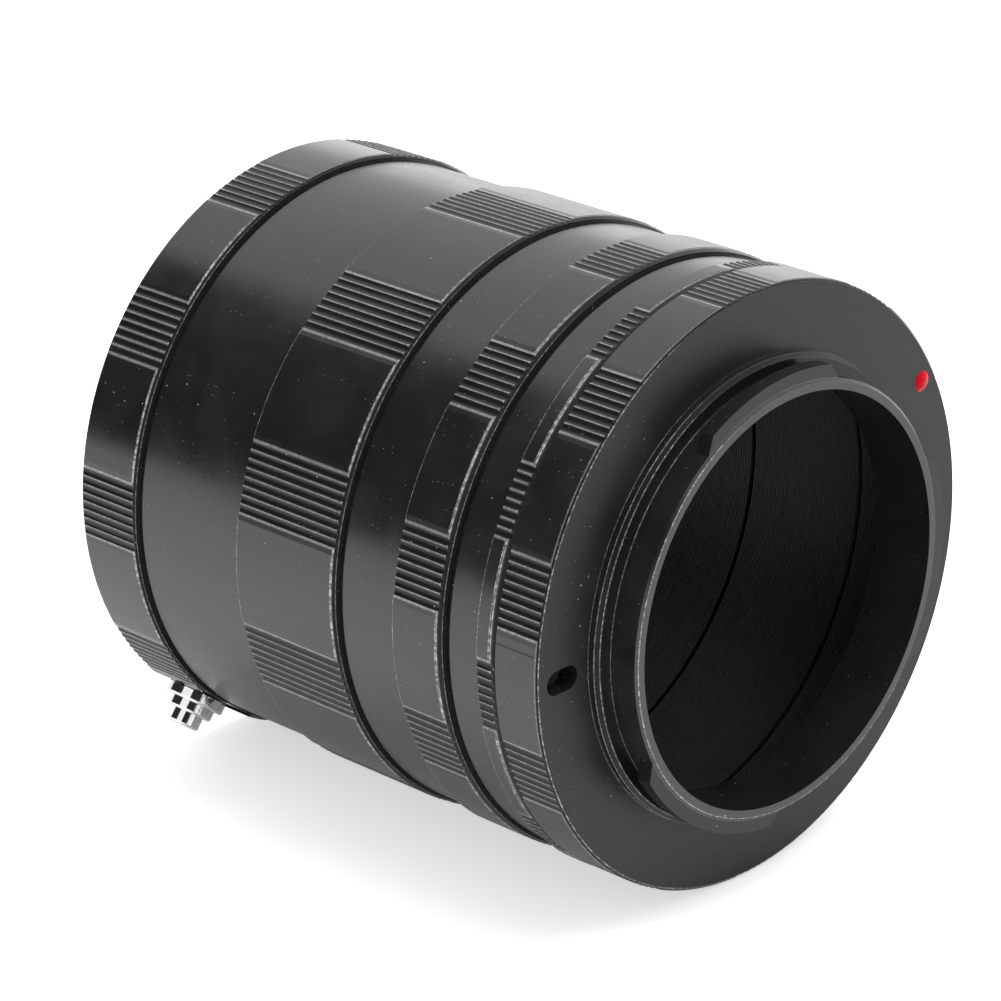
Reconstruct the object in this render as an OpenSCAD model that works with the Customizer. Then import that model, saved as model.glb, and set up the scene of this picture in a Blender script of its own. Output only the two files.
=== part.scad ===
// Macro extension tube set: a camera ring, three threaded tubes and a lens ring, screwed into one stack.
// Frame: millimetres. The stack stands on the rim of its camera bayonet and Z is the optical axis.
// The origin is on the axis in the plane of that rim. The lens side is on top.
// The release knob points along -Y.
// The modules draw the pieces from the lens side up. stand() then turns each one over.

/* [Stack] */
// Length of the lens ring, from its end face to its joint
lens_ring_len = 7.9; // [7.5:0.1:9]
// Extension given by the long tube
long_len = 28; // [24:0.5:32]
// Extension given by the medium tube
medium_len = 14; // [12:0.5:18]
// Extension given by the short tube
short_len = 7; // [6:0.5:10]
// Length of the camera ring, from its joint to its flange face
camera_ring_len = 5.1; // [4.8:0.1:7]

/* [Walls] */
// Radius of the bore that light passes through
throat_r = 20.5; // [19.5:0.1:22]
// Width of the flange face, from the register step to the outer edge
flange_w = 6.85; // [6:0.05:8]
// Step from the grips down to the plain barrels
grip_step = 0.6; // [0.5:0.05:0.8]
// Wall of the tubes under the plain barrels
tube_wall = 1.9; // [1.6:0.05:2.3]
// Wall of the male threads
spigot_wall = 0.9; // [0.7:0.05:1.1]
// Length of the male thread that stands out of each piece
spigot_len = 2.2; // [1.8:0.1:3]
// Gap left beyond the end of a screwed-in male thread
spigot_gap = 0.3; // [0.2:0.05:0.6]
// Radial clearance of the joining threads
thread_clear = 0.05; // [0.03:0.01:0.1]
// Break on the end of each male thread
spigot_edge = 0.2; // [0.1:0.05:0.4]
// Radial depth of the bevel on the lens-side edge of each barrel
barrel_edge = 0.3; // [0.1:0.05:0.5]
// Length of the bevel on the lens-side edge of each barrel
barrel_bevel = 0.65; // [0.2:0.05:1]

/* [Grips] */
// Length of the grip of the long tube
long_grip_len = 13.3; // [8:0.1:18]
// Length of the grip of the medium tube
medium_grip_len = 6.2; // [4:0.1:9]
// Length of the grip of the short tube
short_grip_len = 2.4; // [1.6:0.1:4]
// Number of ribbed fields round each grip
fields = 10; // [6:1:12]
// Number of grooves in one ribbed field
grooves = 8; // [4:1:9]
// Angle from groove to groove
groove_pitch = 1.7; // [1.5:0.05:1.9]
// Width of one round-bottomed groove
groove_w = 0.82; // [0.6:0.02:0.84]
// Depth of the rib crests below the smooth arcs
field_depth = 0.06; // [0.04:0.01:0.12]
// Depth of the grooves below the rib crests
groove_depth = 0.13; // [0.08:0.01:0.16]
// Angle over which a smooth arc falls to a ribbed field
ramp_angle = 1.3; // [0.8:0.1:2]
// Length of the front chamfer of the lens ring
lens_chamfer = 0.4; // [0.2:0.05:0.8]
// Length of the front chamfer of the long tube
long_chamfer = 0.5; // [0.2:0.05:1]
// Length of the front chamfer of the medium tube
medium_chamfer = 0.7; // [0.3:0.05:1.2]
// Length of the front chamfer of the short tube
short_chamfer = 0.9; // [0.3:0.05:1.2]
// Length of the front chamfer of the camera ring
camera_chamfer = 0.25; // [0.2:0.05:0.6]
// Radial drop of all the front chamfers
chamfer_drop = 0.3; // [0.3:0.05:0.5]
// Turn of the ribbed fields on the lens ring
lens_phase = 1; // [-3:0.1:3]
// Turn of the ribbed fields on the long tube
long_phase = 20.7; // [0:0.1:36]
// Turn of the ribbed fields on the medium tube
medium_phase = 24.8; // [0:0.1:36]
// Turn of the ribbed fields on the short tube
short_phase = 8; // [0:0.1:36]
// Turn of the ribbed fields on the camera ring
camera_phase = 23.2; // [0:0.1:36]

/* [Camera bayonet] */
// Wall of the bayonet barrel
bayonet_wall = 1.05; // [0.8:0.05:1.3]
// Height of the bayonet barrel above the flange face
bayonet_h = 4.5; // [4.3:0.1:5.4]
// Break on the edge of the bayonet rim
rim_edge = 0.25; // [0.1:0.05:0.4]
// Width of the register step at the root of the bayonet
register_w = 1.6; // [1.3:0.05:2]
// Height of the register step
register_h = 1.1; // [0.9:0.05:1.3]
// Break on the edge of the register step
register_edge = 0.4; // [0.2:0.05:0.6]
// Width of the three lugs, beyond the bayonet barrel
lug_w = 1.3; // [1:0.05:1.5]
// Gap between the flange face and the lugs
lug_gap = 2.8; // [2.5:0.05:3.2]
// Thickness of the lugs
lug_t = 1.5; // [1.2:0.05:1.6]
// Slant of the lug ends away from the radius
lug_slant = 48; // [20:1:55]
// Thickness of the flange web round the throat
web_t = 2.1; // [1.6:0.1:2.4]
// Length of the lock slot, along the radius
slot_len = 4; // [3.4:0.1:4.6]
// Width of the lock slot
slot_w = 2.4; // [2.1:0.1:2.8]
// Depth of the lock slot beyond the flange web
slot_over = 0.4; // [0.3:0.05:0.45]
// Angle of the lock slot
slot_angle = 219.3; // [210:0.1:228]
// Radius of the index beads
bead_r = 1.05; // [0.8:0.05:1.25]
// Height of the dome of the index beads
bead_dome = 0.37; // [0.25:0.01:0.45]
// Depth of the seats of the index beads
bead_seat = 0.7; // [0.5:0.05:0.9]
// Distance of the camera-side bead from the edge of the flange
bead_in = 2; // [1.8:0.1:2.6]
// Angle of the camera-side bead
camera_bead_angle = 68.3; // [60:0.1:80]

/* [Lens bayonet] */
// Width of the ring's own face round the bayonet plate
plate_rim = 1.5; // [1.2:0.05:1.8]
// Clearance round the edge of the bayonet plate
plate_clear = 0.05; // [0.03:0.01:0.1]
// Clearance between the plate bore and the register step of a mate
register_clear = 0.2; // [0.1:0.05:0.3]
// Clearance between the tabs and the front of a mate's register step
tab_front_clear = 0.15; // [0.1:0.05:0.25]
// Clearance between the tabs and the bayonet barrel of a mate
tab_clear = 0.25; // [0.15:0.05:0.4]
// Turn of a mate from its index position to its locked position
mate_turn = 60; // [56:1:62]
// Angular clearance at each end of the openings for the lugs of a mate
opening_clear = 1; // [0.5:0.1:2]
// Clearance round the lugs of a mate as they pass the plate
lug_clear = 0.2; // [0.1:0.05:0.25]
// Clearance round the lugs of a mate behind the plate
cavity_clear = 1.55; // [1.2:0.05:1.7]
// Length of the cone from the cavity to the tube wall
cone_len = 0.6; // [0.4:0.05:0.8]
// Radius of the thread of a plate screw
screw_r = 0.8; // [0.6:0.05:1]
// Radius of the head of a plate screw
screw_head_r = 1.5; // [1.3:0.05:1.8]
// Length of a plate screw
screw_len = 5; // [4:0.5:6]
// Width of the cross recess of a plate screw
recess_w = 0.36; // [0.3:0.02:0.45]
// Depth of the cross recess of a plate screw
recess_depth = 0.35; // [0.25:0.05:0.45]
// Thickness of the leaf springs
leaf_t = 0.3; // [0.2:0.05:0.35]
// Gap between a leaf spring and the lugs of a mate
leaf_gap = 0.15; // [0.1:0.05:0.2]
// Depth of the pockets that hold the outer edges of the leaf springs
leaf_seat = 0.9; // [0.7:0.05:1]
// Distance of the leaf springs from the inner edges of the tabs
leaf_in = 0.4; // [0.3:0.05:0.6]
// Clearance at the edges of the leaf springs
leaf_clear = 0.05; // [0.03:0.01:0.1]
// Angle over which one leaf spring reaches
leaf_span = 40; // [30:1:44]

/* [Lock] */
// Radius of the tip of the lock pin
pin_r = 0.85; // [0.7:0.05:1]
// Length by which the lock pin stands out of the end face
pin_out = 1.4; // [1:0.1:1.7]
// Break on the tip of the lock pin
pin_edge = 0.2; // [0.1:0.05:0.3]
// Clearance round the lock pin
pin_clear = 0.06; // [0.04:0.01:0.1]
// Length of the pin that is pressed into its slider
pin_seat = 1.2; // [0.9:0.1:1.5]
// Radial step at the pressed ends of the pin and the stem
press_step = 0.1; // [0.05:0.05:0.2]
// Travel of the release knob
lock_travel = 1.6; // [1.5:0.1:1.8]
// Radius of the slider that carries pin and knob
slider_r = 1.4; // [1.2:0.05:1.5]
// Length of the slider
slider_len = 2.4; // [2.2:0.1:2.6]
// Gap between the slider and the bayonet plate
slider_gap = 0.03; // [0.02:0.01:0.08]
// Length left for the pressed return spring
spring_room = 0.95; // [0.8:0.05:1]
// Clearance between the return spring and its bore
spring_clear = 0.41; // [0.2:0.01:0.5]
// Wire radius of the return spring
spring_wire = 0.12; // [0.1:0.01:0.15]
// Radius of the step of the knob that lies next to the ring
knob_r1 = 2.9; // [2.6:0.05:3.1]
// Radius of the middle step of the knob
knob_r2 = 2.1; // [1.8:0.05:2.4]
// Radius of the outermost step of the knob
knob_r3 = 1.5; // [1.2:0.05:1.8]
// Height of the first step of the knob above the milled flat
knob_h1 = 1.4; // [1.2:0.05:1.7]
// Height of the middle step of the knob
knob_h2 = 1.1; // [0.9:0.05:1.4]
// Height of the outermost step of the knob
knob_h3 = 1.4; // [1.1:0.05:1.7]
// Break on the edges of the knob
knob_edge = 0.1; // [0.05:0.05:0.2]
// Radius of the threaded stem of the knob
stem_r = 0.8; // [0.6:0.05:0.9]
// Clearance round the stem of the knob
stem_clear = 0.12; // [0.08:0.02:0.2]
// Depth of the milled flat under the knob below the grip
flat_drop = 0.5; // [0.4:0.05:0.6]
// Width of the milled flat
flat_w = 8; // [7:0.1:9]
// Gap between the knob and the milled flat
knob_gap = 0.12; // [0.08:0.02:0.2]

/* [Hidden] */
$fn = 180;
eps = 0.01;
// places along the axis, counted from the lens-side end
z_long = lens_ring_len;
z_medium = z_long + long_len;
z_short = z_medium + medium_len;
z_camera = z_short + short_len;
z_flange = z_camera + camera_ring_len;
z_rim = z_flange + bayonet_h;
// radii, from the throat outwards
bayonet_r = throat_r + bayonet_wall;
register_r = bayonet_r + register_w;
lug_r = bayonet_r + lug_w;
grip_r = register_r + flange_w;
barrel_r = grip_r - grip_step;
inner_r = barrel_r - tube_wall;
thread_r = inner_r + spigot_wall;
female_r = thread_r + thread_clear;
female_len = spigot_len + spigot_gap;
crest_r = grip_r - field_depth;
// each groove is cut by a round tool of the radius groove_r
groove_r = (groove_w * groove_w / 4 + groove_depth * groove_depth) / (2 * groove_depth);
field_half = grooves * groove_pitch / 2;
// the slot, the pin, the screws and the lens-side bead lie on one circle in the middle of the flange
lock_r = register_r + flange_w / 2;
slot_z = z_flange - web_t - slot_over;
slot_straight = slot_len - slot_w;
// lug angles on the camera bayonet, start and end of each
lugs = [[7, 58.4], [115, 157.5], [250, 302]];
knob_angle = 270;
plate_r = grip_r - plate_rim;
plate_t = lug_gap - leaf_t - leaf_gap;
plate_bore_r = register_r + register_clear;
tab_r = bayonet_r + tab_clear;
opening_r = lug_r + lug_clear;
tab_front = register_h + tab_front_clear;
cavity_r = lug_r + cavity_clear;
// angle that a slanted lug end adds between the outer edge of the lug and the tabs of a mate
slant_angle = atan((lug_r - bayonet_r) * tan(lug_slant) / bayonet_r);
// a mate's lugs stand at mate_shift when its bead meets the lens-side bead
mate_shift = knob_angle - slot_angle + mate_turn;
lens_bead_angle = camera_bead_angle + mate_shift;
screw_angles = [45, 135, 225, 315];
screw_head_h = screw_head_r - screw_r;
leaf_pocket_r = cavity_r + leaf_seat;
slider_low = plate_t + slider_gap;
slider_bore_r = slider_r + pin_clear;
slider_bore_end = slider_low + slider_len + lock_travel + spring_room;
spring_r = slider_bore_r - spring_clear;
knob_z = slider_low + slider_len / 2;
flat_pos = grip_r - flat_drop;
knob_base = flat_pos + knob_gap;
knob_top1 = flat_pos + knob_h1;
knob_top2 = knob_top1 + knob_h2;
knob_top3 = knob_top2 + knob_h3;

function polar(r, a) = [r * cos(a), r * sin(a)];

// turns a piece over, about the Y axis, so that the stack stands on its camera side
module stand() {
    translate([0, 0, z_rim]) rotate([0, 180, 0]) children();
}

// flat ring from radius r0 to r1
module tube(r0, r1, z0, z1) {
    difference() {
        translate([0, 0, z0]) cylinder(r = r1, h = z1 - z0);
        translate([0, 0, z0 - 1]) cylinder(r = r0, h = z1 - z0 + 2);
    }
}

// part of a ring between the angles a0 and a1, less than half a turn
module ring_sector(r0, r1, a0, a1, z0, z1) {
    intersection() {
        tube(r0, r1, z0, z1);
        translate([0, 0, z0 - 1]) linear_extrude(height = z1 - z0 + 2)
            polygon([[0, 0], polar(2 * r1, a0), polar(2 * r1, (a0 + a1) / 2), polar(2 * r1, a1)]);
    }
}

// outer form of a grip with its front chamfer
module grip_blank(z0, z1, chamfer) {
    translate([0, 0, z0]) cylinder(r = grip_r, h = z1 - chamfer - z0);
    translate([0, 0, z1 - chamfer]) cylinder(r1 = grip_r, r2 = grip_r - chamfer_drop, h = chamfer);
}

// a point on the ramp of a field: 0 at the foot of the ramp, 1 at its top, on the side s
function ramp_point(s, t) = polar(crest_r, s * field_half) * (1 - t)
                            + polar(grip_r, s * (field_half + ramp_angle)) * t;

// space taken out for one ribbed field: the shallow field, its two ramps and its grooves
module field_cut(z0, z1) {
    h = z1 - z0;
    difference() {
        translate([0, 0, z0]) linear_extrude(height = h)
            polygon([ramp_point(-1, -0.4), ramp_point(-1, 2), [grip_r + 3, 0],
                     ramp_point(1, 2), ramp_point(1, -0.4)]);
        translate([0, 0, z0 - 1]) cylinder(r = crest_r, h = h + 2);
    }
    for (i = [0 : grooves - 1])
        rotate([0, 0, (i - (grooves - 1) / 2) * groove_pitch])
            translate([crest_r - groove_depth + groove_r, 0, z0]) cylinder(r = groove_r, h = h, $fn = 48);
}

module all_fields(z0, z1, phase) {
    for (k = [0 : fields - 1])
        rotate([0, 0, phase + k * 360 / fields]) field_cut(z0, z1);
}

// outside of a male thread that starts at z0
module male_thread(z0) {
    translate([0, 0, z0]) cylinder(r = thread_r, h = spigot_len - spigot_edge);
    translate([0, 0, z0 + spigot_len - spigot_edge])
        cylinder(r1 = thread_r, r2 = thread_r - spigot_edge, h = spigot_edge);
}

// one extension tube: barrel, grip, male thread up, female thread down
module extension(z0, len, grip_len, chamfer, phase) {
    difference() {
        union() {
            translate([0, 0, z0]) cylinder(r1 = barrel_r - barrel_edge, r2 = barrel_r, h = barrel_bevel);
            translate([0, 0, z0 + barrel_bevel]) cylinder(r = barrel_r, h = len - grip_len - barrel_bevel);
            difference() {
                grip_blank(z0 + len - grip_len, z0 + len, chamfer);
                all_fields(z0 + len - grip_len - 1, z0 + len + 1, phase);
            }
            male_thread(z0 + len);
        }
        translate([0, 0, z0 - 1]) cylinder(r = inner_r, h = len + spigot_len + 2);
        translate([0, 0, z0 - 1]) cylinder(r = female_r, h = female_len + 1);
    }
}

// countersunk screw, head face at z = 0, thread along +Z
module plate_screw() {
    difference() {
        union() {
            cylinder(r1 = screw_head_r, r2 = screw_r, h = screw_head_h);
            translate([0, 0, screw_head_h]) cylinder(r = screw_r, h = screw_len - screw_head_h);
        }
        for (a = [0, 90])
            rotate([0, 0, a]) translate([-recess_w / 2, -screw_r, -1])
                cube([recess_w, 2 * screw_r, 1 + recess_depth]);
    }
}

// index bead in its blind hole, pole towards +Z
module bead() {
    dome_r = (bead_r * bead_r + bead_dome * bead_dome) / (2 * bead_dome);
    translate([0, 0, -bead_seat]) cylinder(r = bead_r, h = bead_seat, $fn = 64);
    intersection() {
        translate([0, 0, bead_dome - dome_r]) sphere(r = dome_r, $fn = 64);
        cylinder(r = bead_r + 1, h = bead_dome + 1);
    }
}

module at_polar(r, a, z) {
    rotate([0, 0, a]) translate([r, 0, z]) children();
}

module lens_mount_ring() color([0.05, 0.05, 0.055]) stand() {
    difference() {
        union() {
            cylinder(r1 = grip_r - lens_chamfer, r2 = grip_r, h = lens_chamfer);
            grip_blank(lens_chamfer, z_long, lens_chamfer);
            male_thread(z_long);
        }
        all_fields(-1, z_long + 1, lens_phase);
        // seat of the bayonet plate, the cavity and the wider end towards the tubes
        translate([0, 0, -1]) cylinder(r = plate_r, h = plate_t + 1);
        translate([0, 0, -1]) cylinder(r = cavity_r, h = z_long + 1 - cone_len);
        translate([0, 0, z_long - cone_len - eps])
            cylinder(r1 = cavity_r, r2 = inner_r, h = cone_len + eps);
        translate([0, 0, z_long]) cylinder(r = inner_r, h = spigot_len + 1);
        // pockets that hold the outer edges of the leaf springs
        for (i = [0 : 2])
            ring_sector(cavity_r - 1, leaf_pocket_r, leaf_angle(i) - leaf_span / 2,
                        leaf_angle(i) + leaf_span / 2, plate_t - 0.5, plate_t + leaf_t);
        // blind bore of the slider and its spring
        at_polar(lock_r, knob_angle, plate_t - 1)
            cylinder(r = slider_bore_r, h = slider_bore_end - plate_t + 1);
        // long hole for the stem of the knob
        rotate([0, 0, knob_angle]) {
            translate([lock_r, -stem_r - stem_clear, knob_z])
                cube([grip_r - lock_r + 1, 2 * (stem_r + stem_clear), lock_travel]);
            for (z = [knob_z, knob_z + lock_travel])
                translate([lock_r, 0, z]) rotate([0, 90, 0])
                    cylinder(r = stem_r + stem_clear, h = grip_r - lock_r + 1, $fn = 48);
            translate([flat_pos, -flat_w / 2, -1]) cube([flat_drop + 1, flat_w, z_long + 2]);
        }
        // tapped holes of the plate screws
        for (a = screw_angles)
            at_polar(lock_r, a, 0) cylinder(r = screw_r, h = screw_len, $fn = 32);
    }
}

// the three tabs lie between the openings; each leaf spring is centred on its tab
function tab_start(i) = lugs[i][1] + mate_shift + slant_angle + opening_clear;
function tab_end(i) = (i == 2 ? lugs[0][0] + 360 : lugs[i + 1][0]) + mate_shift
                      - slant_angle - opening_clear;
function leaf_angle(i) = (tab_start(i) + tab_end(i)) / 2;

module bayonet_plate() color([0.62, 0.63, 0.65]) stand() {
    difference() {
        union() {
            tube(plate_bore_r, plate_r - plate_clear, 0, tab_front);
            tube(opening_r, plate_r - plate_clear, tab_front, plate_t);
            for (i = [0 : 2])
                ring_sector(tab_r, plate_bore_r + 0.5, tab_start(i), tab_end(i), tab_front, plate_t);
        }
        // countersunk holes
        for (a = screw_angles)
            at_polar(lock_r, a, 0) {
                translate([0, 0, -1]) cylinder(r = screw_r + pin_clear, h = plate_t + 2, $fn = 48);
                translate([0, 0, -1]) cylinder(r = screw_head_r, h = 1, $fn = 48);
                cylinder(r1 = screw_head_r, r2 = screw_r, h = screw_head_h, $fn = 48);
            }
        // hole of the lock pin and seat of the bead
        at_polar(lock_r, knob_angle, -1) cylinder(r = pin_r + pin_clear, h = plate_t + 2, $fn = 48);
        at_polar(lock_r, lens_bead_angle, -1) cylinder(r = bead_r, h = 1 + bead_seat, $fn = 64);
    }
}

module leaf(i) {
    half = leaf_span / 2 - 0.5;
    ring_sector(tab_r + leaf_in, leaf_pocket_r - leaf_clear, leaf_angle(i) - half,
                leaf_angle(i) + half, plate_t, plate_t + leaf_t);
}

module leaf_spring_a() color([0.7, 0.7, 0.68]) stand() leaf(0);

module leaf_spring_b() color([0.7, 0.7, 0.68]) stand() leaf(1);

module leaf_spring_c() color([0.7, 0.7, 0.68]) stand() leaf(2);

module plate_screws() color([0.5, 0.5, 0.52]) stand() {
    for (a = screw_angles)
        at_polar(lock_r, a, 0) plate_screw($fn = 32);
}

module lens_index_bead() color([0.8, 0.02, 0.06]) stand() {
    rotate([0, 0, lens_bead_angle]) translate([lock_r, 0, 0]) rotate([180, 0, 0]) bead();
}

module lock_slider() color([0.45, 0.45, 0.47]) stand() {
    difference() {
        at_polar(lock_r, knob_angle, slider_low) cylinder(r = slider_r, h = slider_len, $fn = 64);
        at_polar(lock_r, knob_angle, slider_low - 1)
            cylinder(r = pin_r - press_step, h = 1 + pin_seat, $fn = 48);
        rotate([0, 0, knob_angle]) translate([lock_r + pin_r, 0, knob_z]) rotate([0, 90, 0])
            cylinder(r = stem_r - press_step, h = slider_r, $fn = 48);
    }
}

module lock_pin() color([0.75, 0.75, 0.77]) stand() {
    at_polar(lock_r, knob_angle, -pin_out) {
        translate([0, 0, pin_edge]) cylinder(r = pin_r, h = pin_out + slider_low - pin_edge, $fn = 48);
        cylinder(r1 = pin_r - pin_edge, r2 = pin_r, h = pin_edge, $fn = 48);
        translate([0, 0, pin_out + slider_low]) cylinder(r = pin_r - press_step, h = pin_seat, $fn = 48);
    }
}

// four closed turns joined by a short bar, pressed flat between slider and bore end
module slider_spring() color([0.7, 0.7, 0.68]) stand() {
    low = slider_low + slider_len + spring_wire;
    high = slider_bore_end - spring_wire;
    coil_r = spring_r - spring_wire;
    at_polar(lock_r, knob_angle, 0) {
        for (i = [0 : 3])
            translate([0, 0, low + (high - low) * i / 3])
                rotate_extrude($fn = 32) translate([coil_r, 0]) circle(r = spring_wire, $fn = 12);
        translate([coil_r, 0, low]) cylinder(r = spring_wire * 0.9, h = high - low, $fn = 12);
    }
}

// one step of the knob, from the knob's base up to the distance top
module knob_step(r, top) {
    translate([0, 0, knob_base]) cylinder(r = r, h = top - knob_base - knob_edge, $fn = 96);
    translate([0, 0, top - knob_edge]) cylinder(r1 = r, r2 = r - knob_edge, h = knob_edge, $fn = 96);
}

module release_knob() color([0.8, 0.8, 0.82]) stand() {
    rotate([0, 0, knob_angle]) translate([0, 0, knob_z]) rotate([0, 90, 0]) {
        knob_step(knob_r1, knob_top1);
        knob_step(knob_r2, knob_top2);
        knob_step(knob_r3, knob_top3);
        translate([0, 0, lock_r + slider_r])
            cylinder(r = stem_r, h = knob_base - lock_r - slider_r, $fn = 48);
        translate([0, 0, lock_r + pin_r]) cylinder(r = stem_r - press_step, h = slider_r - pin_r, $fn = 48);
    }
}

module long_tube() color([0.05, 0.05, 0.055]) stand()
    extension(z_long, long_len, long_grip_len, long_chamfer, long_phase);

module medium_tube() color([0.05, 0.05, 0.055]) stand()
    extension(z_medium, medium_len, medium_grip_len, medium_chamfer, medium_phase);

module short_tube() color([0.05, 0.05, 0.055]) stand()
    extension(z_short, short_len, short_grip_len, short_chamfer, short_phase);

// one bayonet lug, widest at the barrel, that reaches from a0 to a1 at its outer edge
module lug(a0, a1) {
    intersection() {
        tube(throat_r + bayonet_wall / 2, lug_r, z_flange + lug_gap, z_flange + lug_gap + lug_t);
        translate([0, 0, z_flange]) linear_extrude(height = bayonet_h)
            polygon([[0, 0], lug_point(a0, -1, -2.5), lug_point(a0, -1, 2), polar(2 * lug_r, (a0 + a1) / 2),
                     lug_point(a1, 1, 2), lug_point(a1, 1, -2.5)]);
    }
}

// a point on the slanted end of a lug, at the radial distance t from its outer corner
function lug_point(a, s, t) = polar(lug_r + t, a) + t * tan(lug_slant) * s * polar(1, a - 90);

module camera_mount_ring() color([0.05, 0.05, 0.055]) stand() {
    difference() {
        union() {
            difference() {
                grip_blank(z_camera, z_flange, camera_chamfer);
                all_fields(z_camera - 1, z_flange + 1, camera_phase);
            }
            // register step, bayonet barrel and lugs
            translate([0, 0, z_flange]) cylinder(r = register_r, h = register_h - register_edge);
            translate([0, 0, z_flange + register_h - register_edge])
                cylinder(r1 = register_r, r2 = register_r - register_edge, h = register_edge);
            translate([0, 0, z_flange]) cylinder(r = bayonet_r, h = bayonet_h - rim_edge);
            translate([0, 0, z_rim - rim_edge])
                cylinder(r1 = bayonet_r, r2 = bayonet_r - rim_edge, h = rim_edge);
            for (i = [0 : 2])
                lug(lugs[i][0], lugs[i][1]);
        }
        translate([0, 0, z_camera - 1]) cylinder(r = throat_r, h = z_rim);
        translate([0, 0, z_camera - 1]) cylinder(r = female_r, h = female_len + 1);
        translate([0, 0, z_camera - 1]) cylinder(r = inner_r, h = camera_ring_len - web_t + 1);
        // lock slot through the flange web
        rotate([0, 0, slot_angle]) {
            for (x = [-1, 1])
                translate([lock_r + x * slot_straight / 2, 0, slot_z])
                    cylinder(r = slot_w / 2, h = web_t + 1, $fn = 48);
            translate([lock_r - slot_straight / 2, -slot_w / 2, slot_z])
                cube([slot_straight, slot_w, web_t + 1]);
        }
        // seat of the bead
        at_polar(grip_r - bead_in, camera_bead_angle, z_flange - bead_seat)
            cylinder(r = bead_r, h = bead_seat + 1, $fn = 64);
    }
}

module camera_index_bead() color([0.8, 0.02, 0.06]) stand() {
    at_polar(grip_r - bead_in, camera_bead_angle, z_flange) bead();
}

lens_mount_ring();
bayonet_plate();
leaf_spring_a();
leaf_spring_b();
leaf_spring_c();
plate_screws();
lens_index_bead();
lock_slider();
lock_pin();
slider_spring();
release_knob();
long_tube();
medium_tube();
short_tube();
camera_mount_ring();
camera_index_bead();
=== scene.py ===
import math

import bmesh
import bpy
from mathutils import Matrix, Vector


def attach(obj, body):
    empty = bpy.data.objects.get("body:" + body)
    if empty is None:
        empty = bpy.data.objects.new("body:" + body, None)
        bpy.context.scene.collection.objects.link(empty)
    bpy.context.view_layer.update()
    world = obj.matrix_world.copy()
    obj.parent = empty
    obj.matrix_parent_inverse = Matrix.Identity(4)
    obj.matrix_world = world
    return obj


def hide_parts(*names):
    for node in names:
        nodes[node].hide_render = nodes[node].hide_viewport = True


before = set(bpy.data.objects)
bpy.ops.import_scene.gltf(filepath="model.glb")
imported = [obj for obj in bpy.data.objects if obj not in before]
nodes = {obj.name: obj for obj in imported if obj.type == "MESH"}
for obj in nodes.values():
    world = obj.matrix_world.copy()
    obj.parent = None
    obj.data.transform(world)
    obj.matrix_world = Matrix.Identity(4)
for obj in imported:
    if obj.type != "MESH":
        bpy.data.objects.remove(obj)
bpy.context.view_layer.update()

# Sizes in millimetres, as in the part's source. Z runs from the camera side to the lens side.
FLANGE = 4.5
CAMERA_JOINT = 9.6
SHORT_JOINT = 16.6
MEDIUM_JOINT = 30.6
LONG_JOINT = 58.6
TOP = 66.5
GRIP_R = 30.0
CREST_R = 29.94
CHAMFER_R = 29.7
BARREL_R = 29.4
BORE_R = 27.5
THREAD_R = 28.4
REGISTER_R = 23.15
BAYONET_R = 21.55
SPIGOT = 2.2
FEMALE = 2.5

# The grooves inside the tubes: how far inside the bore their back and their roots lie, how far the
# crests stand off the roots, their pitch, and what is left free at each end.
LINER_WALL = 0.01
LINER_ROOT = 0.05
LINER_DEPTH = 0.14
LINER_PITCH = 0.34
LINER_RELIEF = 0.08
LINER_ENDS = (SHORT_JOINT - FEMALE, MEDIUM_JOINT - FEMALE, LONG_JOINT - FEMALE)

# The release knob, measured out from the optical axis along -Y.
KNOB_Z = 63.2
KNOB_BASE = 29.62
KNOB_BEVEL = 0.24
KNOB_DISCS = ((3.15, 30.9), (2.4, 32.0), (1.65, 33.4))
STEM_R = 0.6
STEM_START = 27.6

# The photograph's axes in the part's frame. The part lies on its side there.
PHOTO_RIGHT = Vector((-0.549365, 0.423387, -0.720376))
PHOTO_UP = Vector((0.610508, 0.792010, 0.0))
PHOTO_AWAY = PHOTO_UP.cross(PHOTO_RIGHT)
MIDDLE = Vector((0, 0, 0.0335))

WHITE = (1, 1, 1, 1)
BLACK = (0.010, 0.010, 0.0105, 1)
FADED_BLACK = (0.014, 0.014, 0.0145, 1)
# bare metal of the rubbed edges, which also serves as painted highlight
WORN_AND_HIGHLIT = (0.62, 0.62, 0.63, 1)
DUST = (0.40, 0.40, 0.41, 1)
# tint that darkens reflections: painted shade, and on the end face partly a duller finish
SHADE_AND_DULL_TINT = (0.16, 0.16, 0.16, 1)


def photo_place(right, away, up):
    """A point given in metres from the part's middle, along the photograph's axes."""
    return MIDDLE + PHOTO_RIGHT * right + PHOTO_AWAY * away + PHOTO_UP * up


camera_data = bpy.data.cameras.new("photo_camera")
camera_data.lens = 157.5
camera_data.sensor_width = 36
camera_data.clip_start = 0.02
camera_data.clip_end = 20
camera = bpy.data.objects.new("photo_camera", camera_data)
bpy.context.scene.collection.objects.link(camera)
camera.matrix_world = Matrix((
    (-0.549365, 0.348626, 0.759380, 0.329206),
    (0.423387, 0.899641, -0.106724, -0.046712),
    (-0.720376, 0.262882, -0.641834, -0.240720),
    (0, 0, 0, 1),
))
bpy.context.scene.camera = camera
CAMERA_WAY = (camera.matrix_world.translation - MIDDLE).normalized()


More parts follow.
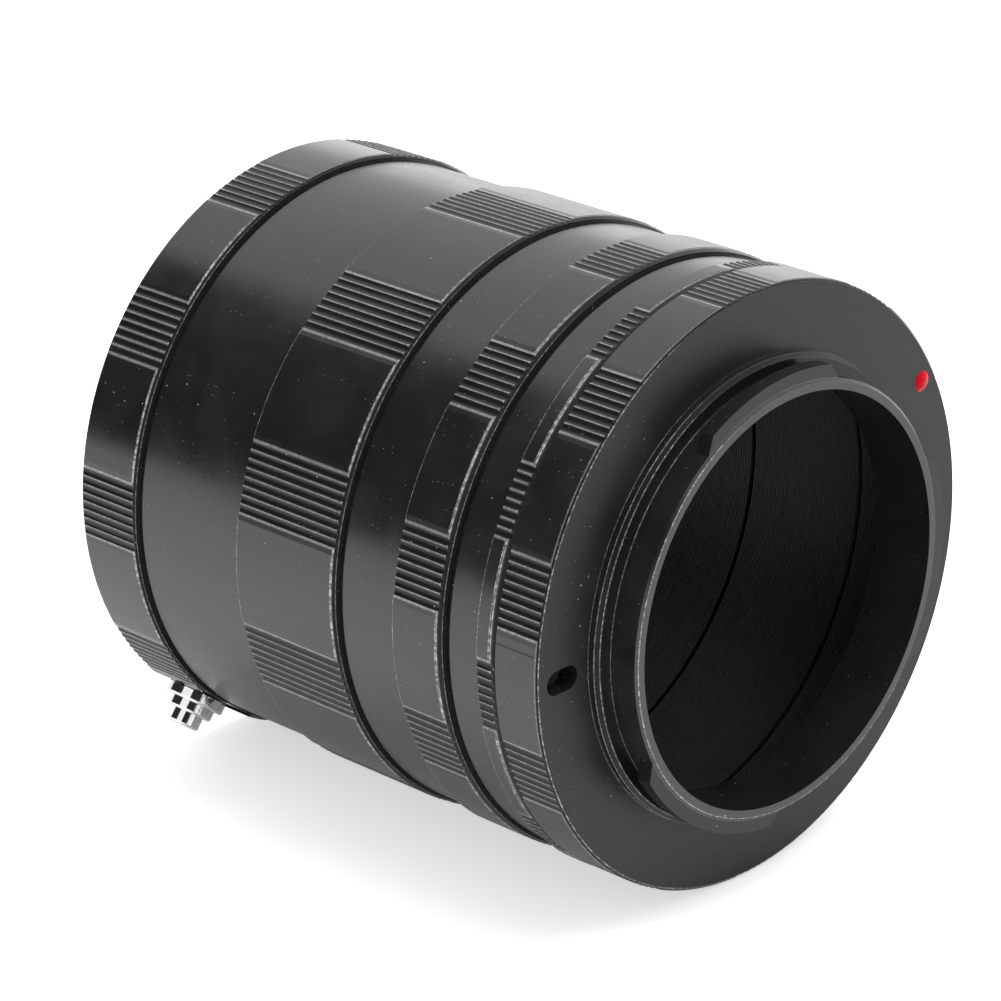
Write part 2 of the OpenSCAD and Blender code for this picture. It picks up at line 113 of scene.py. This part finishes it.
class Nodes:
    """A node tree under construction, with short ways to add and join its nodes."""

    def __init__(self, tree):
        self.tree = tree
        self.tree.nodes.clear()

    def add(self, kind, **settings):
        node = self.tree.nodes.new(kind)
        for key, value in settings.items():
            setattr(node, key, value)
        return node

    def join(self, source, target):
        self.tree.links.new(source, target)

    def put(self, value, target):
        if isinstance(value, bpy.types.NodeSocket):
            self.join(value, target)
        else:
            target.default_value = value

    def maths(self, operation, a, b=0.0):
        node = self.add("ShaderNodeMath", operation=operation)
        self.put(a, node.inputs[0])
        self.put(b, node.inputs[1])
        return node.outputs[0]

    def times(self, first, *others):
        for value in others:
            first = self.maths("MULTIPLY", first, value)
        return first

    def most(self, first, *others):
        for value in others:
            first = self.maths("MAXIMUM", first, value)
        return first

    def length(self, a, b):
        return self.maths("SQRT", self.maths("ADD", self.times(a, a), self.times(b, b)))

    def span(self, value, low, high, out_low=0.0, out_high=1.0):
        node = self.add("ShaderNodeMapRange", interpolation_type="SMOOTHSTEP")
        self.put(value, node.inputs["Value"])
        node.inputs["From Min"].default_value = low
        node.inputs["From Max"].default_value = high
        node.inputs["To Min"].default_value = out_low
        node.inputs["To Max"].default_value = out_high
        return node.outputs["Result"]

    def white_rays(self):
        """The camera ray, and 1 for every ray that should meet the studio's full white."""
        path = self.add("ShaderNodeLightPath")
        camera_ray = path.outputs["Is Camera Ray"]
        return camera_ray, self.most(
            camera_ray, path.outputs["Is Glossy Ray"], path.outputs["Is Transmission Ray"])


class Finish(Nodes):
    """A material under construction."""

    def __init__(self, name):
        self.material = bpy.data.materials.new(name)
        self.material.use_nodes = True
        super().__init__(self.material.node_tree)
        self.out = self.add("ShaderNodeOutputMaterial")

    def mix(self, share, a, b):
        node = self.add("ShaderNodeMix", data_type="RGBA")
        self.put(share, node.inputs[0])
        self.put(a, node.inputs[6])
        self.put(b, node.inputs[7])
        return node.outputs[2]

    def vector(self, x, y, z):
        node = self.add("ShaderNodeCombineXYZ")
        for value, target in zip((x, y, z), node.inputs):
            self.put(value, target)
        return node.outputs[0]

    def noise(self, place, scale, detail=2.0, rough=0.5):
        node = self.add("ShaderNodeTexNoise")
        self.put(place, node.inputs["Vector"])
        node.inputs["Scale"].default_value = scale
        node.inputs["Detail"].default_value = detail
        node.inputs["Roughness"].default_value = rough
        return node.outputs["Fac"]

    def specks(self, place, per_mm, size, share):
        """Small round dots: one per cell of the grid at most, in this share of the cells."""
        node = self.add("ShaderNodeTexVoronoi")
        self.put(place, node.inputs["Vector"])
        node.inputs["Scale"].default_value = per_mm
        inside = self.span(node.outputs["Distance"], size * per_mm, size * per_mm * 0.5)
        parts = self.add("ShaderNodeSeparateColor")
        self.join(node.outputs["Color"], parts.inputs[0])
        return self.times(inside, self.maths("LESS_THAN", parts.outputs[0], share))

    def band(self, value, centre, half, soft):
        """1 within half of centre, falling to 0 over soft."""
        away = self.maths("ABSOLUTE", self.maths("SUBTRACT", value, centre))
        return self.span(away, half + soft, half)

    def ring(self, radius, height, half, soft=0.03):
        """1 on the circle of this radius and height round the axis, falling off to all sides."""
        away = self.length(self.maths("SUBTRACT", self.r, radius), self.maths("SUBTRACT", self.z, height))
        return self.span(away, half + soft, half)

    def low_side(self, start, end, least):
        """1 on the side that lies lowest, falling to least between these angles in degrees."""
        return self.span(self.angle, math.radians(start), math.radians(end), least, 1.0)

    def round_places(self):
        """Object coordinates in millimetres, and the radius, direction and angle round the axis."""
        where = self.add("ShaderNodeTexCoord")
        scaled = self.add("ShaderNodeVectorMath", operation="SCALE")
        self.join(where.outputs["Object"], scaled.inputs[0])
        scaled.inputs["Scale"].default_value = 1000
        parts = self.add("ShaderNodeSeparateXYZ")
        self.join(scaled.outputs[0], parts.inputs[0])
        self.place = scaled.outputs[0]
        self.x, self.y, self.z = parts.outputs
        self.r = self.length(self.x, self.y)
        self.turn_x = self.maths("DIVIDE", self.x, self.r)
        self.turn_y = self.maths("DIVIDE", self.y, self.r)
        self.angle = self.maths("ARCTAN2", self.y, self.x)

    def turned(self, lines_per_mm, length=1.5):
        """Fine lines that run round the axis, on cylinders and on flat faces alike."""
        across = self.times(self.maths("ADD", self.z, self.r), lines_per_mm)
        place = self.vector(self.times(self.turn_x, length), self.times(self.turn_y, length), across)
        return self.noise(place, 1.0, 3.0, 0.6)

    def bump(self, height, depth_mm, normal=None):
        node = self.add("ShaderNodeBump")
        node.inputs["Strength"].default_value = 1.0
        node.inputs["Distance"].default_value = depth_mm / 1000
        self.put(height, node.inputs["Height"])
        if normal is not None:
            self.join(normal, node.inputs["Normal"])
        return node.outputs[0]

    def surface(self, **sockets):
        shader = self.add("ShaderNodeBsdfPrincipled")
        for key, value in sockets.items():
            self.put(value, shader.inputs[key.replace("_", " ")])
        self.join(shader.outputs[0], self.out.inputs["Surface"])
        return self.material


def rubbed_and_highlit_places(m, edges):
    """Bare metal along the edges and on the crests of the ribs, broken up along its length: partly wear
    and partly painted highlight, with the edge lines painted strongest on the low side.
    """
    patchy = m.noise(m.place, 2.6, 3.0, 0.7)
    worn_and_highlit = 0.0
    for radius, z, half, strength in edges:
        worn_and_highlit = m.most(worn_and_highlit, m.times(m.ring(radius, z, half), m.span(patchy, 0.42, 0.66, 0.12, strength)))
    crests = m.times(m.band(m.r, CREST_R, 0.008, 0.012), m.span(patchy, 0.35, 0.7, 0.25, 0.6))
    return m.most(m.times(worn_and_highlit, m.low_side(36, 12, 0.1)), crests)


def dusty_places(m):
    """Dust in specks of three sizes."""
    specks = m.most(
        m.specks(m.place, 0.42, 0.11, 0.10),
        m.specks(m.place, 0.9, 0.09, 0.16),
        m.specks(m.place, 2.3, 0.05, 0.16))
    return m.times(specks, m.low_side(45, 20, 0.35))


def thread_teeth(m):
    """The joining threads, fine helices on the male and female parts, and where they are."""
    helix = m.maths("FRACT", m.maths(
        "ADD", m.times(m.z, 2.0), m.maths("DIVIDE", m.angle, 2 * math.pi)))
    tooth = m.maths("ABSOLUTE", m.maths("SUBTRACT", helix, 0.5))
    inside = m.times(
        m.span(m.z, FLANGE + 0.5, FLANGE + 0.6), m.span(m.z, TOP - 0.5, TOP - 0.6))
    return m.times(tooth, m.band(m.r, THREAD_R + 0.02, 0.1, 0.02), inside)


def black_anodised(name, edges=(), rough=0.25, face=None, scribed=False):
    """Black anodised turned aluminium. edges are (radius, z, half width, strength) of the rubbed
    edges, whose bare metal is partly wear and partly painted highlight, face the z of a duller end face
    with the bayonet on it."""
    m = Finish(name)
    m.round_places()
    lines = m.turned(9.0)
    blotch = m.noise(m.place, 0.22, 3.0)
    grain = m.noise(m.place, 7.0, 2.0, 0.6)
    # rubbed edges and rib crests: bare metal, partly wear and partly painted highlight
    worn_and_highlit = rubbed_and_highlit_places(m, edges)
    colour = m.mix(worn_and_highlit, m.mix(m.span(blotch, 0.3, 0.7), BLACK, FADED_BLACK), WORN_AND_HIGHLIT)
    colour = m.mix(dusty_places(m), colour, DUST)
    roughness = m.maths("ADD", m.span(blotch, 0.3, 0.7, rough - 0.02, rough + 0.02),
                        m.span(grain, 0.3, 0.7, -0.02, 0.02))
    height = m.maths("ADD", m.times(lines, 0.5), m.times(grain, 0.2))
    # painted shade: the reflection is tinted dark in the grooves between the ribs
    shade_and_dull = m.times(m.span(m.r, CREST_R - 0.01, CREST_R - 0.10),
                   m.span(m.r, BARREL_R + 0.1, BARREL_R + 0.2))
    if face is not None:
        on_face = m.times(m.band(m.z, face, 0.02, 0.02), m.span(m.r, REGISTER_R, REGISTER_R + 0.1))
        past_bayonet = m.span(m.r, BAYONET_R + 0.02, BAYONET_R + 0.08)
        on_register = m.times(m.span(m.r, REGISTER_R - 0.01, REGISTER_R - 0.05), past_bayonet,
                              m.band(m.z, face - 0.9, 0.3, 0.05))
        on_lug = m.times(past_bayonet, m.span(m.z, 2.0, 1.9))
        on_rim = m.band(m.z, 0.0, 0.02, 0.02)
        roughness = m.maths("ADD", roughness, m.times(on_face, 0.16))
        height = m.maths("ADD", height, m.times(lines, on_face, 0.8))
        within_chamfer = m.span(m.r, CHAMFER_R + 0.1, CHAMFER_R, 0.0, 0.78)
        # painted shade: the register step, the lug faces and the rim get the dark reflection tint as
        # well; the end face within the chamfer gets it partly for its duller turned finish and partly as
        # painted shade
        shade_and_dull = m.most(shade_and_dull, m.times(on_face, within_chamfer), on_register,
                      m.times(on_lug, 0.8), m.times(on_rim, 0.2))
    normal = m.bump(height, 0.0035)
    if scribed:
        # a fine scribed line along the ring, a V groove with one side that catches the light
        scribe = m.times(m.band(m.angle, math.radians(-32.9), 0.0, 0.0035),
                         m.band(m.z, 7.2, 2.3, 0.2), m.span(m.r, GRIP_R - 1, GRIP_R - 0.9))
        normal = m.bump(m.times(scribe, -1.0), 0.12, normal)
    return m.surface(
        Base_Color=colour, Roughness=roughness, Normal=m.bump(thread_teeth(m), 0.25, normal), IOR=1.72,
        Metallic=m.times(worn_and_highlit, 0.6), Specular_Tint=m.mix(shade_and_dull, WHITE, SHADE_AND_DULL_TINT))


def anti_glare_black():
    m = Finish("matt_black_grooves")
    m.round_places()
    lines = m.turned(14.0)
    speck = m.specks(m.place, 0.7, 0.10, 0.08)
    ends = m.most(*[m.ring(BORE_R - 0.1, z, 0.10, 0.06) for z in LINER_ENDS])
    rubbed = m.times(ends, m.span(m.noise(m.place, 1.6, 3.0, 0.7), 0.45, 0.65, 0.1, 0.5))
    colour = m.mix(m.noise(m.place, 0.4), (0.004, 0.004, 0.0042, 1), (0.009, 0.009, 0.0095, 1))
    # painted highlight: the crests of the grooves are coloured a lighter grey than the roots
    crest_highlight = m.band(m.r, BORE_R - LINER_ROOT - LINER_DEPTH, 0.01, 0.02)
    colour = m.mix(crest_highlight, colour, (0.045, 0.045, 0.046, 1))
    colour = m.mix(m.most(speck, rubbed), colour, DUST)
    return m.surface(
        Base_Color=colour, Roughness=m.span(m.noise(m.place, 2.0), 0.3, 0.7, 0.42, 0.52),
        Normal=m.bump(lines, 0.004), IOR=1.45)


def turned_steel(name, colour, rough, lines_per_mm, depth):
    m = Finish(name)
    m.round_places()
    lines = m.turned(lines_per_mm)
    stain = m.noise(m.place, 0.5, 4.0)
    dark = tuple(c * 0.82 for c in colour[:3]) + (1,)
    shade = m.mix(m.span(stain, 0.35, 0.7), colour, dark)
    rubbed = m.specks(m.place, 0.9, 0.12, 0.2)
    return m.surface(
        Base_Color=m.mix(rubbed, shade, (0.32, 0.32, 0.32, 1)), Metallic=1.0,
        Roughness=m.span(lines, 0.3, 0.7, rough - 0.05, rough + 0.07),
        Normal=m.bump(lines, depth))


def rolled_spring_steel():
    m = Finish("rolled_spring_steel")
    m.round_places()
    streak = m.noise(m.vector(m.times(m.x, 9), m.y, m.z), 1.6, 3.0)
    return m.surface(
        Base_Color=m.mix(streak, (0.50, 0.50, 0.48, 1), (0.66, 0.66, 0.63, 1)), Metallic=1.0,
        Roughness=m.span(streak, 0.3, 0.7, 0.22, 0.34), Normal=m.bump(streak, 0.004))


def polished_chrome():
    """The knob's plating: the turning lines run round the knob's own axis, which lies along Y."""
    m = Finish("polished_chrome")
    m.round_places()
    from_knob = m.length(m.x, m.maths("SUBTRACT", m.z, KNOB_Z))
    lines = m.noise(m.vector(0.0, m.times(m.y, 16), m.times(from_knob, 16)), 1.0, 2.0)
    grime = m.span(m.noise(m.place, 1.1, 3.0), 0.52, 0.75)
    return m.surface(
        Base_Color=m.mix(grime, (0.86, 0.85, 0.85, 1), (0.70, 0.68, 0.67, 1)), Metallic=1.0,
        Roughness=m.span(grime, 0.0, 1.0, 0.05, 0.10), Normal=m.bump(lines, 0.0012))


def red_enamel():
    m = Finish("red_enamel_bead")
    m.round_places()
    cloud = m.noise(m.place, 2.2, 3.0)
    return m.surface(
        Base_Color=m.mix(m.span(cloud, 0.3, 0.7), (0.66, 0.002, 0.010, 1), (0.46, 0.001, 0.007, 1)),
        Roughness=m.span(cloud, 0.3, 0.7, 0.16, 0.24), Specular_Tint=(1.0, 0.12, 0.14, 1),
        Normal=m.bump(m.noise(m.place, 3.0), 0.004))


def dress(material, *names):
    """Gives these CAD objects the material in all their slots."""
    for name in names:
        slots = nodes[name].data.materials
        if len(slots) == 0:
            slots.append(material)
        for i in range(len(slots)):
            slots[i] = material


def grip_edges(joint, chamfer, lens_side):
    """The rubbed circles of one grip, partly wear and partly painted highlight: both ends of its chamfer,
    the rib ends and its lens edge.
    """
    return [(GRIP_R, joint + chamfer, 0.05, 0.95), (CREST_R, joint + 0.8 * chamfer, 0.05, 1.0),
            (CHAMFER_R, joint, 0.03, 0.55), (GRIP_R, lens_side, 0.045, 0.8)]


# Rubbed circles of the camera ring: partly wear, partly painted highlight lines on its chamfers, register
# step and bayonet.
CAMERA_RING_EDGES = [
    (CHAMFER_R, FLANGE, 0.05, 0.8), (GRIP_R, FLANGE + 0.25, 0.02, 0.4),
    (BAYONET_R - 0.25, 0, 0.05, 0.9), (REGISTER_R, FLANGE, 0.04, 0.5),
    (REGISTER_R, FLANGE - 0.7, 0.04, 0.6), (REGISTER_R - 0.4, FLANGE - 1.1, 0.05, 0.7),
    (BAYONET_R, FLANGE - 1.3, 0.05, 0.6),
]

dress(black_anodised("black_anodised_lens_ring", grip_edges(LONG_JOINT, 0.4, TOP - 0.4), 0.20),
      "lens_mount_ring")
dress(black_anodised("black_anodised_long_tube", grip_edges(MEDIUM_JOINT, 0.5, 43.9)), "long_tube")
dress(black_anodised("black_anodised_medium_tube", grip_edges(SHORT_JOINT, 0.7, 22.8)), "medium_tube")
dress(black_anodised("black_anodised_short_tube", grip_edges(CAMERA_JOINT, 0.9, 12.0)), "short_tube")
dress(black_anodised("black_anodised_camera_ring", CAMERA_RING_EDGES, 0.24, FLANGE, True),
      "camera_mount_ring")
dress(turned_steel("turned_mount_steel", (0.60, 0.60, 0.61, 1), 0.20, 7.0, 0.004), "bayonet_plate")
dress(turned_steel("screw_steel", (0.42, 0.42, 0.43, 1), 0.26, 5.0, 0.004), "plate_screws")
dress(turned_steel("ground_pin_steel", (0.64, 0.64, 0.65, 1), 0.14, 14.0, 0.002),
      "lock_slider", "lock_pin")
dress(rolled_spring_steel(), "leaf_spring_a", "leaf_spring_b", "leaf_spring_c", "slider_spring")
dress(red_enamel(), "camera_index_bead", "lens_index_bead")


def turned_piece(name, profile, axis, centre, steps, material, body):
    """A turned solid: the closed or axis-to-axis profile, in mm, is spun once round the axis."""
    bm = bmesh.new()
    verts = [bm.verts.new(Vector(p) / 1000) for p in profile]
    edges = [bm.edges.new(pair) for pair in zip(verts, verts[1:])]
    bmesh.ops.spin(bm, geom=verts + edges, cent=Vector(centre) / 1000, axis=axis, angle=2 * math.pi,
                   steps=steps, use_merge=True, use_duplicate=False)
    bmesh.ops.remove_doubles(bm, verts=bm.verts, dist=1e-7)
    bmesh.ops.recalc_face_normals(bm, faces=bm.faces)
    piece = linked_object(name, bm, material)
    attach(piece, body)
    return piece


def linked_object(name, bm, material):
    """An object in the scene, at the origin, that takes over the bmesh."""
    mesh = bpy.data.meshes.new(name)
    bm.to_mesh(mesh)
    bm.free()
    mesh.materials.append(material)
    made = bpy.data.objects.new(name, mesh)
    bpy.context.scene.collection.objects.link(made)
    return made


def grooved_liner(name, low, high, body, material):
    """The V grooves cut inside a tube, turned as one closed ring that lies against its wall."""
    low += LINER_RELIEF
    high -= LINER_RELIEF
    count = round((high - low) / LINER_PITCH)
    step = (high - low) / count
    wall = BORE_R - LINER_WALL
    root = BORE_R - LINER_ROOT
    crest = root - LINER_DEPTH
    profile = [(wall, 0, low), (wall, 0, high)]
    for i in range(count, 0, -1):
        top = low + step * i
        profile += [(crest, 0, top - 0.02), (crest, 0, top - 0.09), (root, 0, top - step / 2 - 0.04)]
    profile += [(crest, 0, low), (wall, 0, low)]
    turned_piece(name, profile, (0, 0, 1), (0, 0, 0), 144, material, body)


anti_glare = anti_glare_black()
for tube, start, end in (("short", CAMERA_JOINT, SHORT_JOINT), ("medium", SHORT_JOINT, MEDIUM_JOINT),
                         ("long", MEDIUM_JOINT, LONG_JOINT)):
    grooved_liner(tube + "_tube_grooves", start - SPIGOT, end - FEMALE, tube, anti_glare)


def stepped_knob():
    """The release knob: three stacked discs with broken edges on a stem, turned about an axis along Y."""
    first = KNOB_DISCS[0][0]
    outline = [(0, STEM_START), (STEM_R, STEM_START), (STEM_R, KNOB_BASE),
               (first - KNOB_BEVEL / 2, KNOB_BASE), (first, KNOB_BASE + KNOB_BEVEL / 2)]
    for radius, top in KNOB_DISCS:
        if outline[-1][0] != radius:
            outline.append((radius, outline[-1][1]))
        outline += [(radius, top - KNOB_BEVEL), (radius - 0.3 * KNOB_BEVEL, top - 0.3 * KNOB_BEVEL),
                    (radius - KNOB_BEVEL, top)]
    outline.append((0, KNOB_DISCS[-1][1]))
    profile = [(across, -out, KNOB_Z) for across, out in outline]
    knob = turned_piece("release_knob_turned", profile, (0, 1, 0), (0, 0, KNOB_Z), 96,
                        polished_chrome(), "lock")
    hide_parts("release_knob")


stepped_knob()


def flat_sheet(name, centre, normal, side, width, height, material):
    """A rectangle round centre that faces along normal, with its width along side."""
    up = normal.cross(side).normalized()
    turn = Matrix((side * width, up * height, normal)).transposed().to_4x4()
    bm = bmesh.new()
    bmesh.ops.create_grid(bm, x_segments=1, y_segments=1, size=0.5,
                          matrix=Matrix.Translation(centre) @ turn)
    sheet = linked_object(name, bm, material)
    return sheet


def white_floor():
    """Pale paper that shows as white and keeps the shadow. It is seen from above only."""
    m = Finish("white_paper_floor")
    camera_ray, seen = m.white_rays()
    paper = m.add("ShaderNodeBsdfDiffuse")
    paper.inputs["Color"].default_value = (0.85, 0.85, 0.85, 1)
    glow = m.add("ShaderNodeEmission")
    m.join(m.maths("ADD", m.times(seen, 0.15), m.times(camera_ray, 0.43)), glow.inputs["Strength"])
    both = m.add("ShaderNodeAddShader")
    m.join(paper.outputs[0], both.inputs[0])
    m.join(glow.outputs[0], both.inputs[1])
    clear = m.add("ShaderNodeBsdfTransparent")
    side = m.add("ShaderNodeNewGeometry")
    chosen = m.add("ShaderNodeMixShader")
    m.join(side.outputs["Backfacing"], chosen.inputs[0])
    m.join(both.outputs[0], chosen.inputs[1])
    m.join(clear.outputs[0], chosen.inputs[2])
    m.join(chosen.outputs[0], m.out.inputs["Surface"])
    return m.material


def black_cloth():
    m = Finish("black_cloth")
    m.round_places()
    return m.surface(
        Base_Color=(0.008, 0.008, 0.008, 1), Roughness=m.span(m.noise(m.place, 0.1), 0, 1, 0.9, 1.0))


flat_sheet("paper_floor", photo_place(0, 0, -0.0302), PHOTO_UP, PHOTO_RIGHT, 3.0, 3.0, white_floor())
cloth = black_cloth()
flags = [
    flat_sheet("left_flag", photo_place(-0.75, 0.025, 0.47), PHOTO_RIGHT, PHOTO_AWAY, 0.75, 1.0, cloth),
    flat_sheet("front_flag", MIDDLE + CAMERA_WAY * 0.46 + PHOTO_RIGHT * 0.045, CAMERA_WAY,
               PHOTO_RIGHT, 0.33, 0.26, cloth),
]
for flag in flags:
    flag.visible_camera = False
    flag.visible_shadow = False
    flag.visible_diffuse = False


def studio_world():
    """White all round, and a little less of it for diffuse light."""
    world = bpy.data.worlds.new("studio")
    world.use_nodes = True
    w = Nodes(world.node_tree)
    _, seen = w.white_rays()
    sky = w.add("ShaderNodeBackground")
    sky.inputs["Color"].default_value = WHITE
    w.join(w.span(seen, 0.0, 1.0, 0.7, 1.0), sky.inputs["Strength"])
    w.join(sky.outputs[0], w.add("ShaderNodeOutputWorld").inputs["Surface"])
    return world


bpy.context.scene.world = studio_world()


def soft_box(name, place, width, height, power, glossy):
    """A rectangular lamp that faces the part's middle and stands upright in the photograph."""
    data = bpy.data.lights.new(name, "AREA")
    data.shape = "RECTANGLE"
    data.size = width
    data.size_y = height
    data.energy = power
    box = bpy.data.objects.new(name, data)
    bpy.context.scene.collection.objects.link(box)
    back = (place - MIDDLE).normalized()
    side = PHOTO_UP.cross(back).normalized()
    turn = Matrix((side, back.cross(side), back)).transposed()
    box.matrix_world = Matrix.Translation(place) @ turn.to_4x4()
    box.visible_camera = False
    box.visible_glossy = glossy


soft_box("top_box", photo_place(0.2, 0.0, 0.95), 0.9, 0.9, 9.0, False)
soft_box("back_box", photo_place(0.0, 1.1, 0.15), 1.8, 0.34, 1.6, True)

bpy.context.scene.view_settings.view_transform = "Standard"
